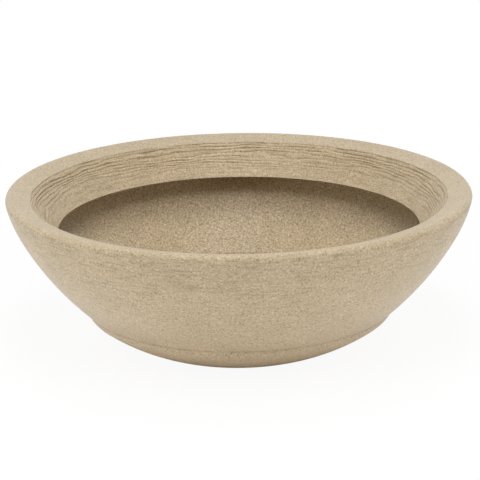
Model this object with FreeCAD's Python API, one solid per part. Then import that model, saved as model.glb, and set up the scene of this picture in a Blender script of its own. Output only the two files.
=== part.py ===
"""Wide bowl planter: one hollow moulded shell and the rubber plug of its drain."""
import FreeCAD, Part
import math
import os

from FreeCAD import Vector

# Millimetres and degrees. The pot stands on z = 0 and its axis is the Z axis.

# Overall size and the thickness of the moulded skin
rim_diameter = 600.0
height = 203.0
wall_thickness = 5.0

# Lip: a rounded outer edge, a top that tilts inwards, and a rounded turn down into the collar
rim_edge_radius = 6.5
lip_width = 32.0
lip_tilt = 16.0
lip_inner_radius = 5.5

# Collar: slopes from the lip down and in to the trimmed mouth
mouth_diameter = 468.0
collar_depth = 49.0

# Lines combed round the collar, shallower from line to line. Each wanders by a sum of waves, with
# for each wave its share of the spacing, its number round the pot, its twist per line and its start.
# The first line has a small share of the waves, and each spacing below it gains some more. As many
# lines are combed as leave a smooth band above the mouth.
first_line = 2.0
smooth_band = 9.0
line_spacing = 5.2
line_width = 2.6
line_depth = 1.5
line_depth_lost = 0.5
line_overcut = 0.3
line_points = 72
line_waves = [(0.45, 3, 0.9, 1.9), (0.30, 7, -0.7, -0.4), (0.12, 13, 1.1, 0.0)]
first_wave_share = 0.15
wave_share_gain = 0.25

# Wall: two arcs that join at the shoulder, measured in from the rim and down from the top
wall_lean_at_rim = 13.8
shoulder_inset = 16.5
shoulder_drop = 50.0

# Foot: a crease round the low wall, a steep turn below it, and an arc that rounds under to the standing ring
crease_diameter = 404.0
crease_height = 50.5
crease_radius = 1.5
foot_lean_at_crease = 14.5
foot_turn_radius = 23.0
foot_turn_angle = 38.0
base_diameter = 244.0
standing_ring_width = 14.0

# Underside: a raised middle, so that water can leave the drain, and channels that let it out
recess_height = 8.0
recess_slope = 45.0
recess_corner_radius = 9.0
channel_count = 4
channel_width = 18.0
channel_depth = 2.0

# Drain hole in the middle of the base, and its plug
drain_diameter = 22.0
plug_clearance = 0.1
plug_taper = 0.6
flange_diameter = 36.0
flange_thickness = 3.0
flange_edge_radius = 1.2
knob_neck_diameter = 11.0
knob_neck_height = 5.0
knob_diameter = 18.0
knob_height = 8.0
knob_edge_radius = 3.0

# Places that follow from those sizes
rim_radius = rim_diameter / 2
mouth_radius = mouth_diameter / 2
mouth_height = height - collar_depth
base_radius = base_diameter / 2
floor_height = recess_height + wall_thickness


def point(radius, z):
    """A point of the section, which lies in the XZ plane."""
    return Vector(radius, 0, z)


def heading(degrees):
    """A direction in the section: 0 points away from the axis and 90 points up."""
    angle = math.radians(degrees)
    return point(math.cos(angle), math.sin(angle))


def line(start, end):
    return Part.LineSegment(start, end).toShape()


def arc_about(centre, start, end):
    """The short arc about a centre from start to end."""
    outward = (start - centre) + (end - centre)
    middle = centre + outward.normalize() * (start - centre).Length
    return Part.Arc(start, middle, end).toShape()


def arc_from(start, direction, end):
    """The arc that leaves start along direction and reaches end, and its direction there."""
    chord = end - start
    side = point(-direction.z, direction.x)
    centre = start + side * (chord.dot(chord) / (2 * chord.dot(side)))
    along = point(chord.x, chord.z).normalize()
    arriving = along * (2 * along.dot(direction)) - direction
    return arc_about(centre, start, end), arriving


def rounded_run(corners, radii):
    """Straight runs through the corners, each inner corner rounded by its radius."""
    edges = []
    start = corners[0]
    for index, radius in enumerate(radii, 1):
        corner = corners[index]
        back = (corners[index - 1] - corner).normalize()
        ahead = (corners[index + 1] - corner).normalize()
        half_angle = back.getAngle(ahead) / 2
        reach = radius / math.tan(half_angle)
        bisector = (back + ahead).normalize()
        middle = corner + bisector * (radius / math.sin(half_angle) - radius)
        enters = corner + back * reach
        leaves = corner + ahead * reach
        edges.append(line(start, enters))
        edges.append(Part.Arc(enters, middle, leaves).toShape())
        start = leaves
    edges.append(line(start, corners[-1]))
    return edges


def turned_point(place, angle):
    """A point of the section, turned about the axis by an angle in radians."""
    return Vector(place.x * math.cos(angle), place.x * math.sin(angle), place.z)


def rim_edge_centre():
    return point(rim_radius - rim_edge_radius, height - rim_edge_radius)


def underside_edges():
    """From the axis along the raised middle, down to the standing ring and out to the foot."""
    ring_inner = base_radius - standing_ring_width
    raised_radius = ring_inner - recess_height / math.tan(math.radians(recess_slope))
    corners = [
        point(0, recess_height),
        point(raised_radius, recess_height),
        point(ring_inner, 0),
        point(base_radius, 0),
    ]
    return rounded_run(corners, [recess_corner_radius, recess_corner_radius])


def wall_edges():
    """From the standing ring up the foot, over the crease and up the wall to the rim's edge."""
    base = point(base_radius, 0)
    crease = point(crease_diameter / 2, crease_height)
    shoulder = point(rim_radius - shoulder_inset, height - shoulder_drop)
    edge_centre = rim_edge_centre()
    rim_foot = edge_centre + heading(-wall_lean_at_rim) * rim_edge_radius
    turn_centre = crease - heading(-foot_lean_at_crease) * foot_turn_radius
    turn_middle = turn_centre + heading(-foot_lean_at_crease - foot_turn_angle / 2) * foot_turn_radius
    turn_end = turn_centre + heading(-foot_lean_at_crease - foot_turn_angle) * foot_turn_radius
    foot_turn = Part.Arc(crease, turn_middle, turn_end).toShape()
    foot, _ = arc_from(turn_end, heading(-90 - foot_lean_at_crease - foot_turn_angle), base)
    upper, at_shoulder = arc_from(rim_foot, heading(-90 - wall_lean_at_rim), shoulder)
    lower, _ = arc_from(shoulder, at_shoulder, crease)
    lip_start = edge_centre + heading(90 + lip_tilt) * rim_edge_radius
    rim_middle = edge_centre + heading((90 + lip_tilt - wall_lean_at_rim) / 2) * rim_edge_radius
    rim_edge = Part.Arc(rim_foot, rim_middle, lip_start).toShape()
    return [foot, foot_turn, lower, upper, rim_edge]


def lip_corners():
    """The corners of the lip and collar: at the rim's edge, at the turn between them, and at the mouth."""
    lip_start = rim_edge_centre() + heading(90 + lip_tilt) * rim_edge_radius
    inner_radius = rim_radius - lip_width
    fall = (lip_start.x - inner_radius) * math.tan(math.radians(lip_tilt))
    return [lip_start, point(inner_radius, lip_start.z - fall), point(mouth_radius, mouth_height)]


def collar_place(run):
    """The place that far down from where the lip turns, and the way out of the skin there."""
    _, corner, mouth = lip_corners()
    way = (mouth - corner).normalize()
    collar_slope = math.degrees(math.atan2(-way.z, -way.x))
    turn = math.radians(collar_slope - lip_tilt)
    turn_length = lip_inner_radius * turn
    leaves = corner + way * (lip_inner_radius * math.tan(turn / 2))
    if run > turn_length:
        return leaves + way * (run - turn_length), heading(90 + collar_slope)
    turn_centre = leaves - heading(90 + collar_slope) * lip_inner_radius
    outward = heading(90 + lip_tilt + math.degrees(run / lip_inner_radius))
    return turn_centre + outward * lip_inner_radius, outward


def line_count():
    """As many lines as fit on the collar above its smooth band."""
    _, corner, mouth = lip_corners()
    return int((corner.distanceToPoint(mouth) - first_line - smooth_band) / line_spacing)


def line_run(number, angle):
    """How far down the collar a combed line lies at that angle round the pot.

    It lies where the count of spacings from the first line, plus the waves there, comes to its number.
    Half steps towards that place settle on it.
    """
    spacings = number
    half_steps = 40
    for _ in range(half_steps):
        waves = sum(
            share * math.sin(count * angle + twist * spacings + start)
            for share, count, twist, start in line_waves
        )
        wave_share = min(1, first_wave_share + wave_share_gain * max(spacings, 0))
        spacings += (number - spacings - waves * wave_share) / 2
    return first_line + spacings * line_spacing


def comb_line(number):
    """A cutter for one combed line: a V with two edges just above the skin and its root below it."""
    rails = [[], [], []]
    root = -line_depth * (1 - line_depth_lost * number / line_count())
    for step in range(line_points):
        angle = 2 * math.pi * step / line_points
        run = line_run(number, angle)
        half_width = line_width / 2
        corners = [(run - half_width, line_overcut), (run + half_width, line_overcut), (run, root)]
        for rail, (corner_run, lift) in zip(rails, corners):
            place, outward = collar_place(corner_run)
            rail.append(turned_point(place + outward * lift, angle))
    edges = []
    for rail in rails:
        curve = Part.BSplineCurve()
        curve.interpolate(rail, PeriodicFlag=True)
        edges.append(curve.toShape())
    sides = Part.Shell([Part.makeRuledSurface(edges[side], edges[side - 1]) for side in range(3)])
    sides.sewShape()
    return Part.Solid(sides)


def crease_rounded(section):
    """The section with the hollow corner at its crease rounded.

    The rounding's centre lies its radius away from the two arcs that meet there, which both bulge out.
    """
    crease = point(crease_diameter / 2, crease_height)
    edges = []
    centres = []
    far_ends = []
    for edge in section.OuterWire.OrderedEdges:
        ends = [vertex.Point for vertex in edge.Vertexes]
        far = [end for end in ends if not end.isEqual(crease, 0.001)]
        if len(far) == len(ends):
            edges.append(edge)
        else:
            centres.append(edge.Curve.Center)
            far_ends.append(far[0])
    reaches = [centre.distanceToPoint(crease) + crease_radius for centre in centres]
    between = centres[1] - centres[0]
    along = (between.Length + (reaches[0] ** 2 - reaches[1] ** 2) / between.Length) / 2
    between.normalize()
    across = point(-between.z, between.x) * math.sqrt(reaches[0] ** 2 - along ** 2)
    on_line = centres[0] + between * along
    middle = min([on_line + across, on_line - across], key=crease.distanceToPoint)
    touches = [middle + (centre - middle).normalize() * crease_radius for centre in centres]
    for centre, far, touch in zip(centres, far_ends, touches):
        edges.append(arc_about(centre, far, touch))
    edges.append(arc_about(middle, *touches))
    return Part.Face(Part.Wire(Part.__sortEdges__(edges)))


def turned(shape, degrees):
    """A copy of the shape, turned about the pot's axis."""
    copy = shape.copy()
    copy.rotate(Vector(0, 0, 0), Vector(0, 0, 1), degrees)
    return copy


def pot_shell():
    """The skin of the section thickened inwards and turned about the axis, then trimmed and drilled.

    It is turned in quarters, because a mesh of whole rings of so small a section comes out rough.
    """
    lip_and_collar = rounded_run(lip_corners(), [lip_inner_radius])
    skin = Part.Wire(underside_edges() + wall_edges() + lip_and_collar)
    section = skin.makeOffset2D(wall_thickness, join=0, fill=True, openResult=True)
    quarter = crease_rounded(section).revolve(Vector(0, 0, 0), Vector(0, 0, 1), 90)
    shell = quarter.fuse([turned(quarter, 90 * number) for number in (1, 2, 3)])
    trim_radius = mouth_radius + 2 * wall_thickness
    mouth_trim = Part.makeCylinder(trim_radius, wall_thickness, point(0, mouth_height - wall_thickness))
    drain = Part.makeCylinder(drain_diameter / 2, floor_height)
    channel = Part.makeBox(
        crease_diameter / 2, channel_width, channel_depth, Vector(0, -channel_width / 2, 0)
    )
    shell = shell.cut(mouth_trim).cut(drain)
    for number in range(line_count()):
        shell = shell.cut(comb_line(number))
    for number in range(channel_count):
        shell = shell.cut(turned(channel, 360 / channel_count * (number + 0.5)))
    return shell


def drain_plug():
    """A tapered stem in the drain hole, a flange on the floor of the pot and a knob to pull."""
    stem_top = drain_diameter / 2 - plug_clearance
    flange_top = floor_height + flange_thickness
    knob_base = flange_top + knob_neck_height
    knob_top = knob_base + knob_height
    axis_top = point(0, knob_top)
    corners = [
        axis_top,
        point(knob_diameter / 2, knob_top),
        point(knob_diameter / 2, knob_base),
        point(knob_neck_diameter / 2, knob_base),
        point(knob_neck_diameter / 2, flange_top),
        point(flange_diameter / 2, flange_top),
        point(flange_diameter / 2, floor_height),
    ]
    neck_radius = flange_edge_radius
    radii = [knob_edge_radius, knob_edge_radius, neck_radius, neck_radius, flange_edge_radius]
    outside = rounded_run(corners, radii)
    stem = Part.makePolygon([
        corners[-1],
        point(stem_top, floor_height),
        point(stem_top - plug_taper, recess_height),
        point(0, recess_height),
        axis_top,
    ])
    section = Part.Face(Part.Wire(outside + stem.Edges))
    return section.revolve(Vector(0, 0, 0), Vector(0, 0, 1), 360)


os.makedirs("parts", exist_ok=True)
pot_shell().exportStep("parts/pot_shell.step")
drain_plug().exportStep("parts/drain_plug.step")
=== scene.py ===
import math

import bpy
from mathutils import Matrix, Vector


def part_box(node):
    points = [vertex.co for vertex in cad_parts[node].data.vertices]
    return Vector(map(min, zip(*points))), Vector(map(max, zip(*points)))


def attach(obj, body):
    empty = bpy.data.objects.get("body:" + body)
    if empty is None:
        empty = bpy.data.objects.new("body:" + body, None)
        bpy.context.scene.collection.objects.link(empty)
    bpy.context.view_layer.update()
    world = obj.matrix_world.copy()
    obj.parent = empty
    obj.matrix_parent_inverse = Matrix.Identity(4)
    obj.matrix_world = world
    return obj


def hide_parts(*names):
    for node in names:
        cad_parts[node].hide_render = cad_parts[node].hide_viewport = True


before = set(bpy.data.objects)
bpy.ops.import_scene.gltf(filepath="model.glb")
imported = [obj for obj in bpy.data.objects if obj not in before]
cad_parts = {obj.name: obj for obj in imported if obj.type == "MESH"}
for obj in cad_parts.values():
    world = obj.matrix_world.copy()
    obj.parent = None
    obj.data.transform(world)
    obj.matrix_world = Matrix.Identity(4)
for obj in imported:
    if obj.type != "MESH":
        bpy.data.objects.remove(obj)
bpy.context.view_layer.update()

# Pot shell: one rotationally moulded skin of polyethylene, hollow behind the collar, with the mouth
# trimmed out of it. Its section is turned about the pot's axis, and the collar carries wavy lines
# that were combed round the mould's pattern.
_, shell_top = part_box("pot_shell")
rim_radius = shell_top.y
rim_height = shell_top.z
skin_thickness = 0.005
rim_edge_radius = 0.0065
rim_lean = math.radians(13.8)
lip_width = 0.032
lip_tilt = math.radians(16)
lip_turn_radius = 0.0055
collar_depth = 0.049
mouth_radius = 0.234
mouth_height = rim_height - collar_depth
shoulder_inset = 0.0165
shoulder_depth = 0.050
shoulder = Vector((rim_radius - shoulder_inset, rim_height - shoulder_depth))
crease = Vector((0.202, 0.0505))
crease_radius = 0.0015
foot_lean = math.radians(14.5)
foot_turn_radius = 0.023
foot_turn_angle = math.radians(38)
base_radius = 0.122
standing_ring_width = 0.014
recess_height = 0.008
recess_slope = math.radians(45)
recess_turn_radius = 0.009
drain_radius = 0.011
quarter_turn = math.pi / 2


def heading(angle):
    """A direction in the section: 0 points away from the axis, a quarter turn points up."""
    return Vector((math.cos(angle), math.sin(angle)))


def straight_steps(start, end, steps):
    """Even steps from start to end, without start."""
    return [start.lerp(end, step / steps) for step in range(1, steps + 1)]


def arc_steps(start, direction, end, steps):
    """Steps along the arc that leaves start along direction for end, and its direction there."""
    chord = end - start
    side = Vector((-direction.y, direction.x))
    centre = start + side * (chord.length_squared / (2 * chord.dot(side)))
    first = math.atan2(start.y - centre.y, start.x - centre.x)
    last = math.atan2(end.y - centre.y, end.x - centre.x)
    turn = (last - first + math.pi) % (2 * math.pi) - math.pi
    spoke = (start - centre).length
    points = [centre + heading(first + turn * step / steps) * spoke for step in range(1, steps + 1)]
    along = chord.normalized()
    return points, along * (2 * along.dot(direction)) - direction


def corner_steps(before, corner, after, radius, steps):
    """Steps round a corner of that radius, from where it starts to where it ends."""
    back = (before - corner).normalized()
    ahead = (after - corner).normalized()
    reach = radius / math.tan(back.angle(ahead) / 2)
    enters = corner + back * reach
    points, _ = arc_steps(enters, -back, corner + ahead * reach, steps)
    return [enters] + points


def skin_steps(rows):
    """The outer face of the section from the drain to the mouth, as (stretch, point) pairs."""
    ring_inner = base_radius - standing_ring_width
    drain = Vector((drain_radius, recess_height))
    raised = Vector((ring_inner - recess_height / math.tan(recess_slope), recess_height))
    ring = Vector((ring_inner, 0))
    base = Vector((base_radius, 0))
    raised_turn = corner_steps(drain, raised, ring, recess_turn_radius, rows["recess"])
    ring_turn = corner_steps(raised, ring, base, recess_turn_radius, rows["recess"])

    edge_centre = Vector((rim_radius - rim_edge_radius, rim_height - rim_edge_radius))
    rim_foot = edge_centre + heading(-rim_lean) * rim_edge_radius
    lip_start = edge_centre + heading(quarter_turn + lip_tilt) * rim_edge_radius
    rim_edge, _ = arc_steps(rim_foot, heading(quarter_turn - rim_lean), lip_start, rows["rim edge"])
    lip_fall = (lip_start.x - rim_radius + lip_width) * math.tan(lip_tilt)
    lip_end = Vector((rim_radius - lip_width, lip_start.y - lip_fall))
    mouth = Vector((mouth_radius, mouth_height))
    lip_turn = corner_steps(lip_start, lip_end, mouth, lip_turn_radius, rows["lip turn"])

    down_wall = heading(-quarter_turn - rim_lean)
    high_wall, at_shoulder = arc_steps(rim_foot, down_wall, shoulder, rows["high wall"])
    low_wall, _ = arc_steps(shoulder, at_shoulder, crease, rows["low wall"])

    foot_centre = crease - heading(-foot_lean) * foot_turn_radius
    foot_turn_end = foot_centre + heading(-foot_lean - foot_turn_angle) * foot_turn_radius
    down_foot = heading(-quarter_turn - foot_lean)
    foot_turn, at_turn_end = arc_steps(crease, down_foot, foot_turn_end, rows["foot turn"])
    foot, _ = arc_steps(foot_turn_end, at_turn_end, base, rows["foot"])
    crease_turn = corner_steps(foot_turn[0], crease, low_wall[-2], crease_radius, rows["crease"])

    stretches = [
        ("underside", [drain] + straight_steps(drain, raised_turn[0], rows["underside"])[:-1]),
        ("underside", raised_turn + ring_turn),
        ("ring", straight_steps(ring_turn[-1], base, rows["ring"])),
        ("foot", foot[-2::-1] + foot_turn[::-1]),
        ("wall", crease_turn + low_wall[-2::-1] + [shoulder] + high_wall[-2::-1] + [rim_foot]),
        ("rim", rim_edge),
        ("lip", straight_steps(lip_start, lip_turn[0], rows["lip"])[:-1]),
        ("collar", lip_turn + straight_steps(lip_turn[-1], mouth, rows["collar"])),
    ]
    return [(name, point) for name, points in stretches for point in points]


def inner_face(outer):
    """The same face set in by the skin's thickness, cut level at the mouth."""
    points = [point for _, point in outer]
    slope = (points[-2] - points[-1]).normalized()
    inner = []
    for index, point in enumerate(points):
        ahead = points[min(index + 1, len(points) - 1)]
        behind = points[max(index - 1, 0)]
        along = (ahead - behind).normalized()
        inner.append(point + Vector((-along.y, along.x)) * skin_thickness)
    inner[-1] = Vector((mouth_radius + skin_thickness / slope.y, mouth_height))
    inner[0].x = drain_radius
    return inner


# How many rows of faces each stretch of the skin has, outside and inside
outer_rows = {
    "underside": 5, "recess": 4, "ring": 3, "foot": 12, "foot turn": 6, "crease": 3, "low wall": 22,
    "high wall": 12, "rim edge": 10, "lip": 8, "lip turn": 8, "collar": 84,
}
inner_rows = {
    "underside": 4, "recess": 3, "ring": 2, "foot": 7, "foot turn": 4, "crease": 3, "low wall": 12,
    "high wall": 7, "rim edge": 5, "lip": 3, "lip turn": 3, "collar": 6,
}
outer = skin_steps(outer_rows)
inner = inner_face(skin_steps(inner_rows))

# How far down the collar each row of the section lies, how strongly it is combed, how near it is to the
# mouth's trimmed edge, and how far it belongs to the lip, which is painted paler as a sheen
combed_from = 0.0003
combed_fully = 0.0014
combed_until = 0.034
smooth_below = 0.046
trim_reach = 0.006
lip_fade = 0.003


def share_of_way(value, start, end):
    """How far value has come from start to end, held between 0 and 1."""
    return min(max((value - start) / (end - start), 0.0), 1.0)


collar_start = [stretch for stretch, _ in outer].index("collar")
run = [0.0] * (collar_start + 1)
for (_, before), (_, point) in zip(outer[collar_start:], outer[collar_start + 1:]):
    run.append(run[-1] + (point - before).length)
comb = []
trim = []
lip_share = []
for (stretch, point), down in zip(outer, run):
    if stretch == "collar":
        grows = share_of_way(down, combed_from, combed_fully)
        comb.append(grows * share_of_way(down, smooth_below, combed_until))
        trim.append(max(0.0, 1 - (run[-1] - down) / trim_reach))
        lip_share.append(max(0.0, 1 - down / lip_fade))
    else:
        comb.append(0.0)
        trim.append(0.0)
        on_rim = max(0.0, 1 - (rim_height - point.y) / rim_edge_radius)
        lip_share.append({"rim": on_rim, "lip": 1.0}.get(stretch, 0.0))

loop = inner + [point for _, point in reversed(outer)]
plain = [0.0] * len(inner)
at_mouth = [0.0] * (len(inner) - 1) + [1.0]
section_values = {
    "comb": plain + comb[::-1],
    "run": plain + run[::-1],
    "trim": at_mouth + trim[::-1],
    "inside": [1.0] * len(inner) + [0.0] * len(outer),
    "lip_share": plain + lip_share[::-1],
}

# The section is drawn flat, measured from the drain's edge, with its height as -y
section = bpy.data.meshes.new("pot_section")
section.from_pydata(
    [(point.x - drain_radius, -point.y, 0) for point in loop],
    [(index, (index + 1) % len(loop)) for index in range(len(loop))],
    [],
)
for name, values in section_values.items():
    section.attributes.new(name, "FLOAT", "POINT").data.foreach_set("value", values)


def add_node(tree, kind, sockets=None, **settings):
    """A node with its settings, each socket given a value or joined to another node's socket."""
    node = tree.nodes.new(kind)
    for name, value in settings.items():
        setattr(node, name, value)
    for name, value in (sockets or {}).items():
        if isinstance(value, bpy.types.NodeSocket):
            tree.links.new(value, node.inputs[name])
        else:
            node.inputs[name].default_value = value
    return node


def work_out(tree, operation, *values):
    """The result of a Math node on values or sockets."""
    node = add_node(tree, "ShaderNodeMath", dict(enumerate(values)), operation=operation)
    return node.outputs[0]


def product(tree, first, *others):
    """Values or sockets multiplied together."""
    for other in others:
        first = work_out(tree, "MULTIPLY", first, other)
    return first


def work_out_vector(tree, operation, sockets):
    """The vector that a Vector Math node gives."""
    return add_node(tree, "ShaderNodeVectorMath", sockets, operation=operation).outputs[0]


def combine(tree, x, y, z):
    """A vector of three values or sockets."""
    return add_node(tree, "ShaderNodeCombineXYZ", {"X": x, "Y": y, "Z": z}).outputs[0]


def noise(tree, vector, scale=1.0, detail=2.0, roughness=0.5):
    """Smooth noise about 0.5 at that place."""
    sockets = {"Vector": vector, "Scale": scale, "Detail": detail, "Roughness": roughness}
    return add_node(tree, "ShaderNodeTexNoise", sockets).outputs[0]


def remap(tree, value, low, high, to_low=0.0, to_high=1.0, kind="SMOOTHSTEP"):
    """The value taken from one range to another, and held at its ends."""
    sockets = {"Value": value, "From Min": low, "From Max": high, "To Min": to_low, "To Max": to_high}
    return add_node(tree, "ShaderNodeMapRange", sockets, interpolation_type=kind).outputs[0]


# Each combed line wanders by a sum of waves, with for each wave its share of the line spacing, its
# number round the pot, its twist from line to line and its start. The waves grow over the first lines.
line_waves = [(0.45, 3, 0.9, 1.9), (0.30, 7, -0.7, -0.4), (0.12, 13, 1.1, 0.0)]
first_line_waves = 0.15
lines_to_full_waves = 3.4

# The combing hand also sways and jitters, with for each its share of the line spacing and how fast it
# changes round the pot and down the collar. Noise is taken from its middle, so that it moves both ways.
hand_sways = [(1.3, 8.0, 45.0), (0.35, 26.0, 90.0)]
noise_middle = 0.5

# The comb presses unevenly along each line, and a little less on each line than on the one above it
press_round = 6.0
press_by_line = 3.7
light_press = 0.34
full_press = 0.58
lightest_depth = 0.45
depth_lost_by_line = 0.0625

# How fast the trimmed edge wanders round the mouth, and the angle past which an edge stays sharp
trim_round = 9.0
sharp_angle = math.radians(50)

# Rule of the skin: the section is swept round the drain's circle, the combed lines sink into the
# collar, the mouth's edge wanders as a hand trimmed it, and drain channels cross the standing ring
skin_rule = bpy.data.node_groups.new("turned_and_combed_skin", "GeometryNodeTree")
rule_inputs = {
    "Segments": ("NodeSocketInt", 360),
    "Drain radius": ("NodeSocketFloat", drain_radius),
    "First line": ("NodeSocketFloat", 0.0020),
    "Line spacing": ("NodeSocketFloat", 0.0052),
    "Line width": ("NodeSocketFloat", 0.0026),
    "Line depth": ("NodeSocketFloat", 0.0015),
    "Trim wander": ("NodeSocketFloat", 0.0016),
    "Channel width": ("NodeSocketFloat", 0.018),
    "Channel depth": ("NodeSocketFloat", 0.002),
    "Finish": ("NodeSocketMaterial", None),
}
skin_rule.interface.new_socket("Section", in_out="INPUT", socket_type="NodeSocketGeometry")
for name, (kind, _) in rule_inputs.items():
    skin_rule.interface.new_socket(name, in_out="INPUT", socket_type=kind)
skin_rule.interface.new_socket("Skin", in_out="OUTPUT", socket_type="NodeSocketGeometry")
given = skin_rule.nodes.new("NodeGroupInput").outputs
outline = add_node(skin_rule, "GeometryNodeMeshToCurve", {"Mesh": given["Section"]}).outputs[0]
circle = add_node(skin_rule, "GeometryNodeCurvePrimitiveCircle", {
    "Resolution": given["Segments"], "Radius": given["Drain radius"]
}).outputs[0]
turned = add_node(skin_rule, "GeometryNodeCurveToMesh", {
    "Curve": circle, "Profile Curve": outline
}).outputs[0]

place = skin_rule.nodes.new("GeometryNodeInputPosition").outputs[0]
axes = add_node(skin_rule, "ShaderNodeSeparateXYZ", {"Vector": place}).outputs
level = combine(skin_rule, axes["X"], axes["Y"], 0.0)
outward = work_out_vector(skin_rule, "NORMALIZE", {0: level})
outward_axes = add_node(skin_rule, "ShaderNodeSeparateXYZ", {"Vector": outward}).outputs


def section_value(name):
    """A value that the section's rows carry."""
    return add_node(
        skin_rule, "GeometryNodeInputNamedAttribute", {"Name": name}, data_type="FLOAT"
    ).outputs[0]


def round_and_down(round_rate, down_rate, down):
    """A noise place that closes on itself round the pot. The rates set how fast the noise changes."""
    x = product(skin_rule, outward_axes["X"], round_rate)
    y = product(skin_rule, outward_axes["Y"], round_rate)
    return combine(skin_rule, x, y, product(skin_rule, down, down_rate))


# Combed lines
down_collar = section_value("run")
below_first = work_out(skin_rule, "SUBTRACT", down_collar, given["First line"])
spacings = work_out(skin_rule, "DIVIDE", below_first, given["Line spacing"])
angle = work_out(skin_rule, "ARCTAN2", axes["Y"], axes["X"])
waves = 0.0
for share, count, twist, start in line_waves:
    turn = work_out(skin_rule, "MULTIPLY_ADD", spacings, twist, start)
    turn = work_out(skin_rule, "MULTIPLY_ADD", angle, count, turn)
    waves = work_out(skin_rule, "MULTIPLY_ADD", work_out(skin_rule, "SINE", turn), share, waves)
growth = remap(
    skin_rule, spacings, 0.0, lines_to_full_waves, first_line_waves, 1.0, kind="LINEAR"
)
phase = work_out(skin_rule, "MULTIPLY_ADD", waves, growth, spacings)
for share, round_rate, down_rate in hand_sways:
    sway = noise(skin_rule, round_and_down(round_rate, down_rate, down_collar))
    sway = work_out(skin_rule, "SUBTRACT", sway, noise_middle)
    phase = work_out(skin_rule, "MULTIPLY_ADD", sway, share, phase)
line_number = work_out(skin_rule, "ROUND", phase)
from_line = work_out(skin_rule, "ABSOLUTE", work_out(skin_rule, "SUBTRACT", phase, line_number))
from_line = product(skin_rule, from_line, given["Line spacing"])
half_width = product(skin_rule, given["Line width"], 0.5)
groove = remap(skin_rule, from_line, 0.0, half_width, 1.0, 0.0)
press = noise(skin_rule, round_and_down(press_round, press_by_line, line_number))
press = remap(skin_rule, press, light_press, full_press, lightest_depth, 1.0)
shallower = work_out(skin_rule, "MULTIPLY_ADD", line_number, -depth_lost_by_line, 1.0)
combed = product(skin_rule, groove, press, section_value("comb"), shallower)
sunk = product(skin_rule, combed, given["Line depth"], -1.0)
normal = skin_rule.nodes.new("GeometryNodeInputNormal").outputs[0]
comb_offset = work_out_vector(skin_rule, "SCALE", {0: normal, "Scale": sunk})

# Trimmed edge of the mouth
edge_noise = noise(skin_rule, round_and_down(trim_round, 0.0, down_collar), detail=4.0, roughness=0.65)
edge_shift = work_out(skin_rule, "SUBTRACT", edge_noise, noise_middle)
edge_shift = product(skin_rule, edge_shift, given["Trim wander"], section_value("trim"))
trim_offset = work_out_vector(skin_rule, "SCALE", {0: outward, "Scale": edge_shift})

# Drain channels, which run out along the two diagonals: twice the distance from the nearer diagonal is
# held against a channel's whole width
across_x = work_out(skin_rule, "ABSOLUTE", axes["X"])
across_y = work_out(skin_rule, "ABSOLUTE", axes["Y"])
off_diagonal = work_out(skin_rule, "ABSOLUTE", work_out(skin_rule, "SUBTRACT", across_x, across_y))
twice_distance = product(skin_rule, off_diagonal, math.sqrt(2))
in_channel = work_out(skin_rule, "LESS_THAN", twice_distance, given["Channel width"])
rise = work_out(skin_rule, "SUBTRACT", given["Channel depth"], axes["Z"])
rise = work_out(skin_rule, "MAXIMUM", rise, 0.0)
channel_offset = combine(skin_rule, 0.0, 0.0, product(skin_rule, rise, in_channel))

offset = work_out_vector(skin_rule, "ADD", {0: comb_offset, 1: trim_offset})
offset = work_out_vector(skin_rule, "ADD", {0: offset, 1: channel_offset})
marked = add_node(skin_rule, "GeometryNodeStoreNamedAttribute", {
    "Geometry": turned, "Name": "combed", "Value": combed
}, data_type="FLOAT", domain="POINT").outputs[0]
shaped = add_node(skin_rule, "GeometryNodeSetPosition", {
    "Geometry": marked, "Offset": offset
}).outputs[0]
smooth = add_node(skin_rule, "GeometryNodeSetShadeSmooth", {
    "Geometry": shaped, "Shade Smooth": True
}).outputs[0]
edge_angle = skin_rule.nodes.new("GeometryNodeInputMeshEdgeAngle").outputs["Unsigned Angle"]
sharp = add_node(skin_rule, "GeometryNodeSetShadeSmooth", {
    "Geometry": smooth,
    "Selection": work_out(skin_rule, "GREATER_THAN", edge_angle, sharp_angle),
    "Shade Smooth": False,
}, domain="EDGE").outputs[0]
real = add_node(skin_rule, "GeometryNodeRealizeInstances", {"Geometry": sharp}).outputs[0]
finished = add_node(skin_rule, "GeometryNodeSetMaterial", {
    "Geometry": real, "Material": given["Finish"]
}).outputs[0]
add_node(skin_rule, "NodeGroupOutput", {"Skin": finished})


def srgb(red, green, blue):
    """A colour written in the 0 to 255 values of a picture, as a shader takes it."""
    values = [part / 255 for part in (red, green, blue)]
    linear = [part / 12.92 if part <= 0.04045 else ((part + 0.055) / 1.055) ** 2.4 for part in values]
    return linear + [1.0]


def ramp(tree, factor, stops):
    """Colours along a factor, as (position, colour) stops."""
    node = add_node(tree, "ShaderNodeValToRGB", {"Fac": factor})
    while len(node.color_ramp.elements) < len(stops):
        node.color_ramp.elements.new(0.5)
    for element, (position, colour) in zip(node.color_ramp.elements, stops):
        element.position = position
        element.color = colour
    return node.outputs[0]


def mix_colour(tree, factor, first, second, blend="MIX"):
    """The first colour taken towards the second by the factor."""
    # A Mix node has sockets of one name for each kind of data, so its colours go by their places
    factor_place = 0
    first_place = 6
    second_place = 7
    colour_place = 2
    sockets = {factor_place: factor, first_place: first, second_place: second}
    node = add_node(tree, "ShaderNodeMix", sockets, data_type="RGBA", blend_type=blend)
    return node.outputs[colour_place]


# Stone-look finish: sand-coloured plastic, moulded with a grain and dark and pale specks right through
dark_sand = srgb(118, 98, 72)
pale_sand = srgb(232, 220, 198)
speck_core = 0.2
speck_edge = 0.42
dark_speck_share = 0.2
dark_speck_strength = 0.6
pale_speck_share = 0.1
pale_speck_strength = 0.5
stone = bpy.data.materials.new("stone_look_plastic")
stone.use_nodes = True
finish = stone.node_tree
surface = finish.nodes["Principled BSDF"]
spot = finish.nodes.new("ShaderNodeTexCoord").outputs["Object"]


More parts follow.
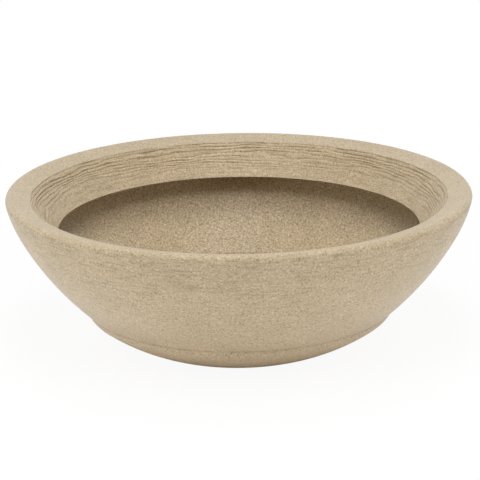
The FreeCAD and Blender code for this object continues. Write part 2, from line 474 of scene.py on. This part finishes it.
def skin_value(name):
    """A value that the skin's mesh carries."""
    return add_node(finish, "ShaderNodeAttribute", attribute_name=name).outputs["Fac"]


inside = skin_value("inside")
outside = work_out(finish, "SUBTRACT", 1.0, inside)
grain = noise(finish, spot, scale=430.0, detail=3.0, roughness=0.65)
sand = ramp(finish, grain, [
    (0.28, srgb(155, 136, 107)),
    (0.44, srgb(181, 163, 133)),
    (0.56, srgb(193, 176, 145)),
    (0.72, srgb(213, 197, 168)),
])
cells = add_node(finish, "ShaderNodeTexVoronoi", {"Vector": spot, "Scale": 290.0})
cell_pick = add_node(finish, "ShaderNodeSeparateColor", {"Color": cells.outputs["Color"]}).outputs[0]
in_speck = remap(finish, cells.outputs["Distance"], speck_core, speck_edge, 1.0, 0.0)
is_dark = work_out(finish, "GREATER_THAN", cell_pick, 1 - dark_speck_share)
is_pale = work_out(finish, "LESS_THAN", cell_pick, pale_speck_share)
dark_speck = product(finish, in_speck, is_dark, dark_speck_strength)
pale_speck = product(finish, in_speck, is_pale, pale_speck_strength)
toned = mix_colour(finish, dark_speck, sand, dark_sand)
toned = mix_colour(finish, pale_speck, toned, pale_sand)
mottle = ramp(finish, noise(finish, spot, scale=26.0, detail=3.0), [
    (0.3, (0.95, 0.95, 0.93, 1.0)),
    (0.7, (1.05, 1.03, 1.04, 1.0)),
])
toned = mix_colour(finish, 1.0, toned, mottle, blend="MULTIPLY")

# Fine lines brushed round the upper wall and the collar, which fade towards the foot and on the lip
brushed_sand = srgb(138, 119, 92)
brush_scale = (34.0, 34.0, 430.0)
brush_core = 0.35
brush_edge = 0.52
brush_low = 0.06
brush_left_low = 0.15
brush_strength = 0.4
height_above = add_node(finish, "ShaderNodeSeparateXYZ", {"Vector": spot}).outputs["Z"]
lip = skin_value("lip_share")
off_lip = work_out(finish, "SUBTRACT", 1.0, lip)
stretched = add_node(finish, "ShaderNodeMapping", {"Vector": spot, "Scale": brush_scale}).outputs[0]
brushed = noise(finish, stretched, detail=3.0, roughness=0.6)
brush_line = remap(finish, brushed, brush_core, brush_edge, 1.0, 0.0)
brush_weight = remap(finish, height_above, brush_low, rim_height, brush_left_low, 1.0)
brush_line = product(finish, brush_weight, outside, off_lip, brush_line)
toned = mix_colour(finish, product(finish, brush_line, brush_strength), toned, brushed_sand)

# Painted shade and grit darken the combed lines, and the lip is painted paler as a sheen and the trimmed
# edge of the mouth as a highlight
grit_and_shade_brown = srgb(112, 92, 66)
grit_and_shade_thin = 0.38
grit_and_shade_thick = 0.6
grit_and_shade_strength = 0.72
painted_sheen_sand = srgb(236, 230, 220)
painted_sheen_strength = 0.05
grit_and_shade_breakup = noise(finish, spot, scale=300.0, detail=3.0, roughness=0.7)
grit_and_shade_breakup = remap(finish, grit_and_shade_breakup, grit_and_shade_thin, grit_and_shade_thick)
groove_grit_and_shade = product(finish, skin_value("combed"), grit_and_shade_breakup, grit_and_shade_strength)
toned = mix_colour(finish, groove_grit_and_shade, toned, grit_and_shade_brown)
# Painted paler sheen on the lip and painted highlight along the trimmed edge of the mouth
painted_sheen = work_out(finish, "MAXIMUM", lip, skin_value("trim"))
painted_sheen = product(finish, painted_sheen, painted_sheen_strength, outside)
toned = mix_colour(finish, painted_sheen, toned, painted_sheen_sand)

# The inside shows the grain more strongly and is painted paler and greyer as a sheen, and a patchy dark
# line of painted shade and dust lies along the crease outside
shade_and_dust_core = 0.0006
shade_and_dust_edge = 0.0026
shade_and_dust_thin = 0.36
shade_and_dust_thick = 0.64
thinnest_shade_and_dust = 0.3
shade_and_dust_strength = 0.32
# Inside grain, stronger than outside, and a painted sheen that makes the inside paler and greyer on the
# whole
inside_grain_and_sheen = ramp(finish, grain, [
    (0.3, (0.88, 0.86, 0.84, 1.0)),
    (0.7, (1.22, 1.22, 1.23, 1.0)),
])
toned = mix_colour(finish, inside, toned, inside_grain_and_sheen, blend="MULTIPLY")
# Painted shade and dust: a patchy dark line at the crease's height on the outside
from_crease = work_out(finish, "ABSOLUTE", work_out(finish, "SUBTRACT", height_above, crease.y))
in_crease = remap(finish, from_crease, shade_and_dust_core, shade_and_dust_edge, 1.0, 0.0)
patchy = noise(finish, spot, scale=60.0, detail=3.0)
patchy = remap(finish, patchy, shade_and_dust_thin, shade_and_dust_thick, thinnest_shade_and_dust, 1.0)
crease_shade_and_dust = product(finish, in_crease, outside, patchy, shade_and_dust_strength)
toned = mix_colour(finish, crease_shade_and_dust, toned, dark_sand)
finish.links.new(toned, surface.inputs["Base Color"])

# The inside is a little smoother than the matt outside, and the grain and brush lines stand in relief
matt_outside = 0.38
smoother_inside = 0.28
brush_relief = 0.6
roughness = remap(finish, inside, 0.0, 1.0, matt_outside, smoother_inside)
finish.links.new(roughness, surface.inputs["Roughness"])
surface.inputs["Specular IOR Level"].default_value = 0.36
relief = work_out(finish, "SUBTRACT", grain, product(finish, brush_line, brush_relief))
bump = add_node(finish, "ShaderNodeBump", {"Height": relief, "Strength": 0.55, "Distance": 0.0006})
finish.links.new(bump.outputs[0], surface.inputs["Normal"])

# The rule is worked out once, and its result kept as a plain mesh
pot_form = bpy.data.objects.new("pot_form", section)
bpy.context.collection.objects.link(pot_form)
sweep = pot_form.modifiers.new("skin", "NODES")
sweep.node_group = skin_rule
for item in skin_rule.interface.items_tree:
    if item.in_out == "INPUT" and item.name in rule_inputs:
        _, value = rule_inputs[item.name]
        sweep[item.identifier] = stone if item.name == "Finish" else value
bpy.context.view_layer.update()
depsgraph = bpy.context.evaluated_depsgraph_get()
pot_mesh = bpy.data.meshes.new_from_object(pot_form.evaluated_get(depsgraph))
bpy.data.objects.remove(pot_form)
pot = bpy.data.objects.new("pot_skin", pot_mesh)
bpy.context.collection.objects.link(pot)
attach(pot, "pot")
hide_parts("pot_shell")

# Drain plug: one piece of moulded black rubber, pushed into the drain from inside the pot. Its flange
# rests on the floor of the pot, and it has a knob to pull it out by.
rubber = bpy.data.materials.new("plug_rubber")
rubber.use_nodes = True
tree = rubber.node_tree
shader = tree.nodes["Principled BSDF"]
spot = tree.nodes.new("ShaderNodeTexCoord").outputs["Object"]
bloom = ramp(tree, noise(tree, spot, scale=220.0, detail=4.0), [
    (0.35, srgb(30, 30, 31)),
    (0.7, srgb(58, 57, 55)),
])
tree.links.new(bloom, shader.inputs["Base Color"])
shader.inputs["Roughness"].default_value = 0.7
pimple = add_node(tree, "ShaderNodeBump", {
    "Height": noise(tree, spot, scale=900.0), "Strength": 0.3, "Distance": 0.0003
})
tree.links.new(pimple.outputs[0], shader.inputs["Normal"])
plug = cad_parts["drain_plug"]
plug.data.materials.clear()
plug.data.materials.append(rubber)

# Floor: a plain pale sheet of paper that the pot stands on. To the camera it is white but for the pot's
# soft shadow. It also glows a little, as painted bounce light thrown back at the pot: the glow is little
# and dark close to the pot, as a painted shadow, and warm close to the foot.
floor_reach = 12.0
foot_shade_start = 0.13
foot_shade_end = 0.26
shadow_kept = 0.07
shadow_fades_from = 0.4
shadow_gone_at = 1.0
floor_mesh = bpy.data.meshes.new("floor")
floor_mesh.from_pydata(
    [(-floor_reach, -floor_reach, 0), (floor_reach, -floor_reach, 0),
     (floor_reach, floor_reach, 0), (-floor_reach, floor_reach, 0)],
    [], [(0, 1, 2, 3)],
)
floor = bpy.data.objects.new("floor", floor_mesh)
bpy.context.collection.objects.link(floor)
paper = bpy.data.materials.new("pale_paper")
paper.use_nodes = True
tree = paper.node_tree
tree.nodes.remove(tree.nodes["Principled BSDF"])
matt = add_node(tree, "ShaderNodeBsdfDiffuse", {"Color": (0.86, 0.86, 0.86, 1.0)}).outputs[0]
spot = tree.nodes.new("ShaderNodeTexCoord").outputs["Object"]
from_axis = add_node(tree, "ShaderNodeVectorMath", {0: spot}, operation="LENGTH").outputs["Value"]
# Painted shadow of the pot on the floor: the floor's glow and its white in reflections fade out close to
# the pot
clear_of_pot = remap(tree, from_axis, foot_shade_start, foot_shade_end)
painted_bounce_colour = ramp(tree, clear_of_pot, [
    (0.0, (0.01, 0.009, 0.008, 1.0)),
    (0.3, (0.17, 0.122, 0.08, 1.0)),
    (1.0, (0.22, 0.22, 0.22, 1.0)),
])
painted_bounce_glow = add_node(tree, "ShaderNodeEmission", {"Color": painted_bounce_colour, "Strength": 1.0}).outputs[0]
lit = add_node(tree, "ShaderNodeAddShader", {0: matt, 1: painted_bounce_glow}).outputs[0]
white = add_node(tree, "ShaderNodeEmission", {
    "Color": (1.0, 1.0, 1.0, 1.0), "Strength": 1.0
}).outputs[0]
rays = tree.nodes.new("ShaderNodeLightPath").outputs
mirrored = work_out(tree, "MAXIMUM", rays["Is Glossy Ray"], rays["Is Transmission Ray"])
mirrored = product(tree, mirrored, clear_of_pot)
seen_white = remap(tree, from_axis, shadow_fades_from, shadow_gone_at, 1 - shadow_kept, 1.0)
seen_white = product(tree, rays["Is Camera Ray"], seen_white)
white_share = work_out(tree, "MAXIMUM", seen_white, mirrored)
mixed = add_node(tree, "ShaderNodeMixShader", {0: white_share, 1: lit, 2: white}).outputs[0]
tree.links.new(mixed, tree.nodes["Material Output"].inputs["Surface"])
floor_mesh.materials.append(paper)

# Light: a white room with two wide soft lamps above the pot, one overhead and one towards the front,
# and three soft lamps low down, in front and at each side.
room_strength = 0.08
world = bpy.data.worlds.new("white_room")
bpy.context.scene.world = world
world.use_nodes = True
tree = world.node_tree
rays = tree.nodes.new("ShaderNodeLightPath").outputs
seen_directly = work_out(tree, "MAXIMUM", rays["Is Camera Ray"], rays["Is Glossy Ray"])
seen_directly = work_out(tree, "MAXIMUM", seen_directly, rays["Is Transmission Ray"])
room_light = remap(tree, seen_directly, 0.0, 1.0, room_strength, 1.0, kind="LINEAR")
background = tree.nodes["Background"].inputs
background["Color"].default_value = (1.0, 1.0, 1.0, 1.0)
tree.links.new(room_light, background["Strength"])


def soft_lamp(name, place, aim, size, power):
    """A square area lamp that shines from place towards aim."""
    data = bpy.data.lights.new(name, "AREA")
    data.size = size
    data.energy = power
    lamp = bpy.data.objects.new(name, data)
    lamp.location = place
    lamp.visible_camera = False
    lamp.visible_glossy = False
    lamp.rotation_euler = (Vector(aim) - Vector(place)).to_track_quat("-Z", "Y").to_euler()
    bpy.context.collection.objects.link(lamp)


pot_middle = (0.0, 0.0, 0.1)
soft_lamp("overhead", (0.0, 0.0, 2.4), pot_middle, size=1.1, power=27.2)
soft_lamp("front_top", (0.03, -1.2, 2.05), pot_middle, size=1.0, power=21.5)
soft_lamp("front_low", (0.0, -2.4, 0.35), pot_middle, size=0.8, power=3.9)
soft_lamp("left_low", (-2.2, -0.9, 0.45), pot_middle, size=0.8, power=17.6)
soft_lamp("right_low", (2.2, -0.9, 0.45), pot_middle, size=0.8, power=14.6)

# Camera: at the photograph's height and distance from the pot, with a long lens. It looks at what is in
# the middle of the photograph, and has the photograph's slight roll.
camera_rise = math.radians(17.27)
camera_distance = 2.482
camera_roll = math.radians(-0.742)
measured_from = Vector((0.0, 0.0, 0.1151))
picture_middle = Vector((0.0009, 0.0047, 0.1300))
camera_data = bpy.data.cameras.new("camera")
camera_data.sensor_width = 36.0
camera_data.lens = 142.6
camera = bpy.data.objects.new("camera", camera_data)
back = Vector((0.0, -math.cos(camera_rise), math.sin(camera_rise)))
camera.location = measured_from + back * camera_distance
look = (picture_middle - camera.location).to_track_quat("-Z", "Y").to_matrix()
camera.rotation_euler = (look @ Matrix.Rotation(camera_roll, 3, "Z")).to_euler()
bpy.context.collection.objects.link(camera)
bpy.context.scene.camera = camera
bpy.context.scene.view_settings.view_transform = "Standard"
